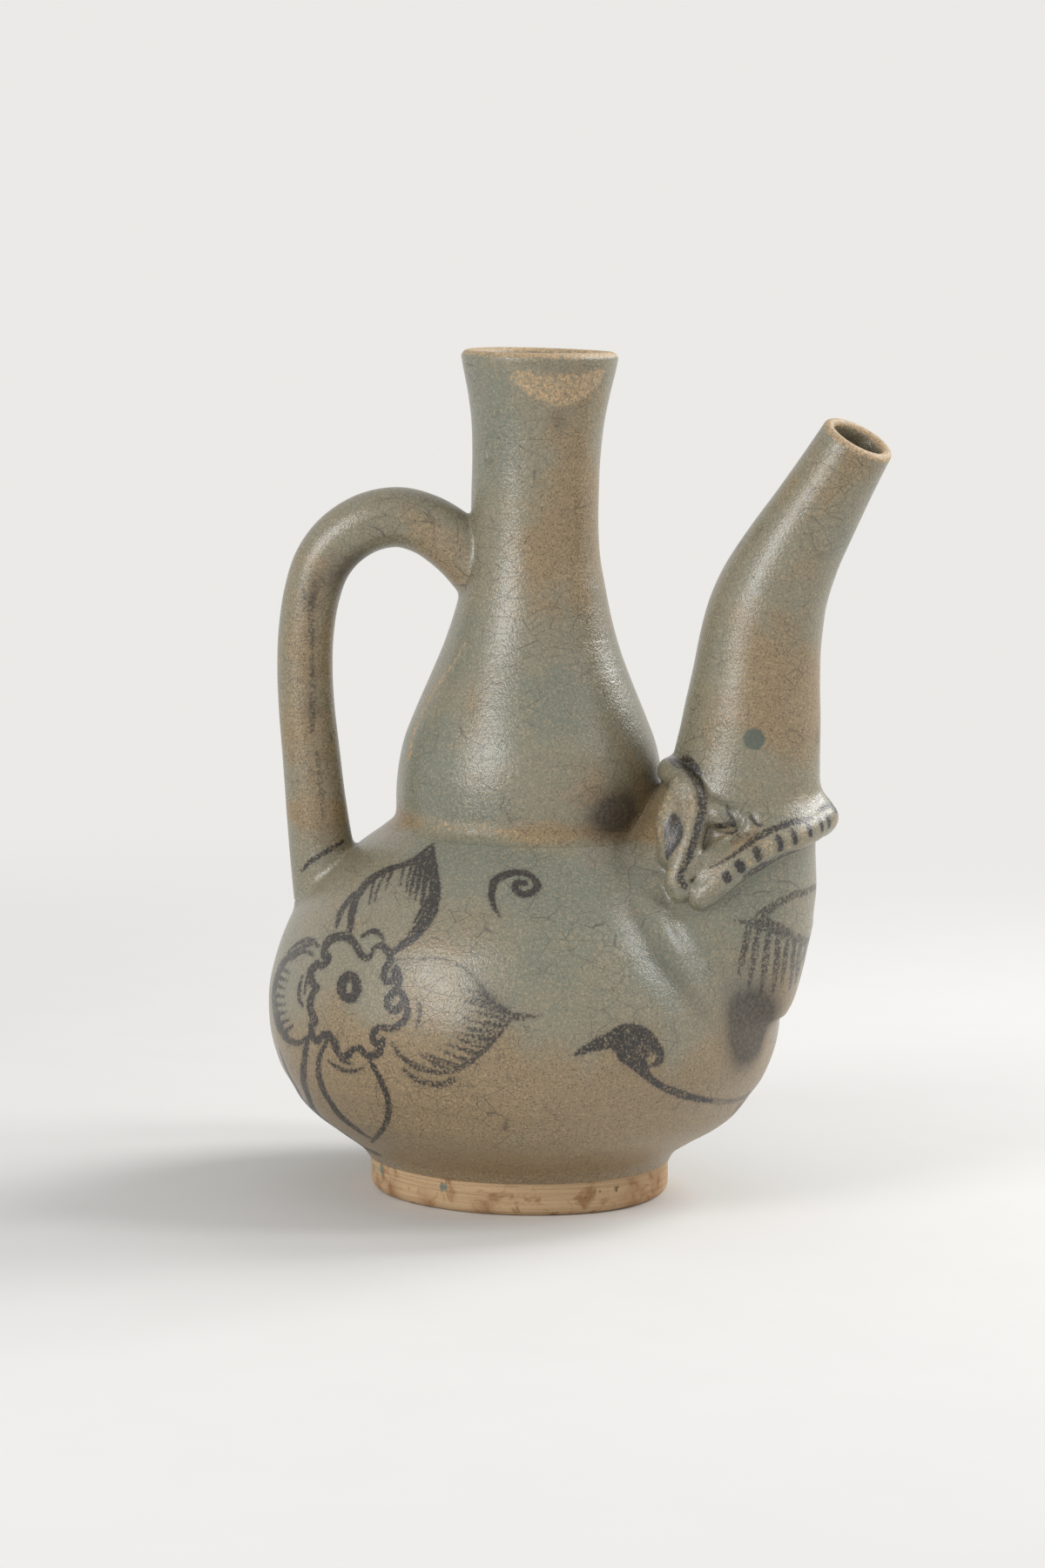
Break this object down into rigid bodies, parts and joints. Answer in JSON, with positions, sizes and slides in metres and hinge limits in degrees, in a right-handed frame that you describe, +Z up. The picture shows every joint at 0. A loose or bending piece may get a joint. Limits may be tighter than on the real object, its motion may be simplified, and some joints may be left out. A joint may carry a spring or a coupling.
{
  "type": "celadon ewer",
  "caption": "Gourd-shaped glazed ceramic ewer with a beast-mouth spout, a rod handle and a turned foot ring.",
  "frame": {"origin": "on the ground, under the middle of the ewer's outer box; the pot's own axis stands 12.5 mm behind it", "axes": "+X towards the pouring side, away from the handle; +Z up; the handle lies in the XZ plane and the spout is turned 16 degrees from it towards -Y"},
  "size_m": [0.1738, 0.1486, 0.2433],
  "materials": {
    "celadon_glaze": "silky grey-green celadon glaze over stoneware, finely crackled, with iron-brown painting under it",
    "worn_glaze": "thin celadon glaze rubbed to buff over the luted joint at the waist",
    "bare_clay": "bare fired stoneware clay, buff, matt, with turning lines and brown stains"
  },
  "bodies": {
    "root": {"foot_ring": "bare_clay", "lower_globe": "celadon_glaze", "waist_band": "worn_glaze", "upper_bulb": "celadon_glaze", "neck": "celadon_glaze", "handle": "celadon_glaze", "spout_root": "celadon_glaze", "spout_tube": "celadon_glaze", "upper_lip": "celadon_glaze", "lower_lip": "celadon_glaze", "eye_right": "celadon_glaze", "eye_left": "celadon_glaze", "upper_fang_right": "celadon_glaze", "upper_fang_left": "celadon_glaze", "lower_fang_right": "celadon_glaze", "lower_fang_left": "celadon_glaze"}
  },
  "joints": []
}
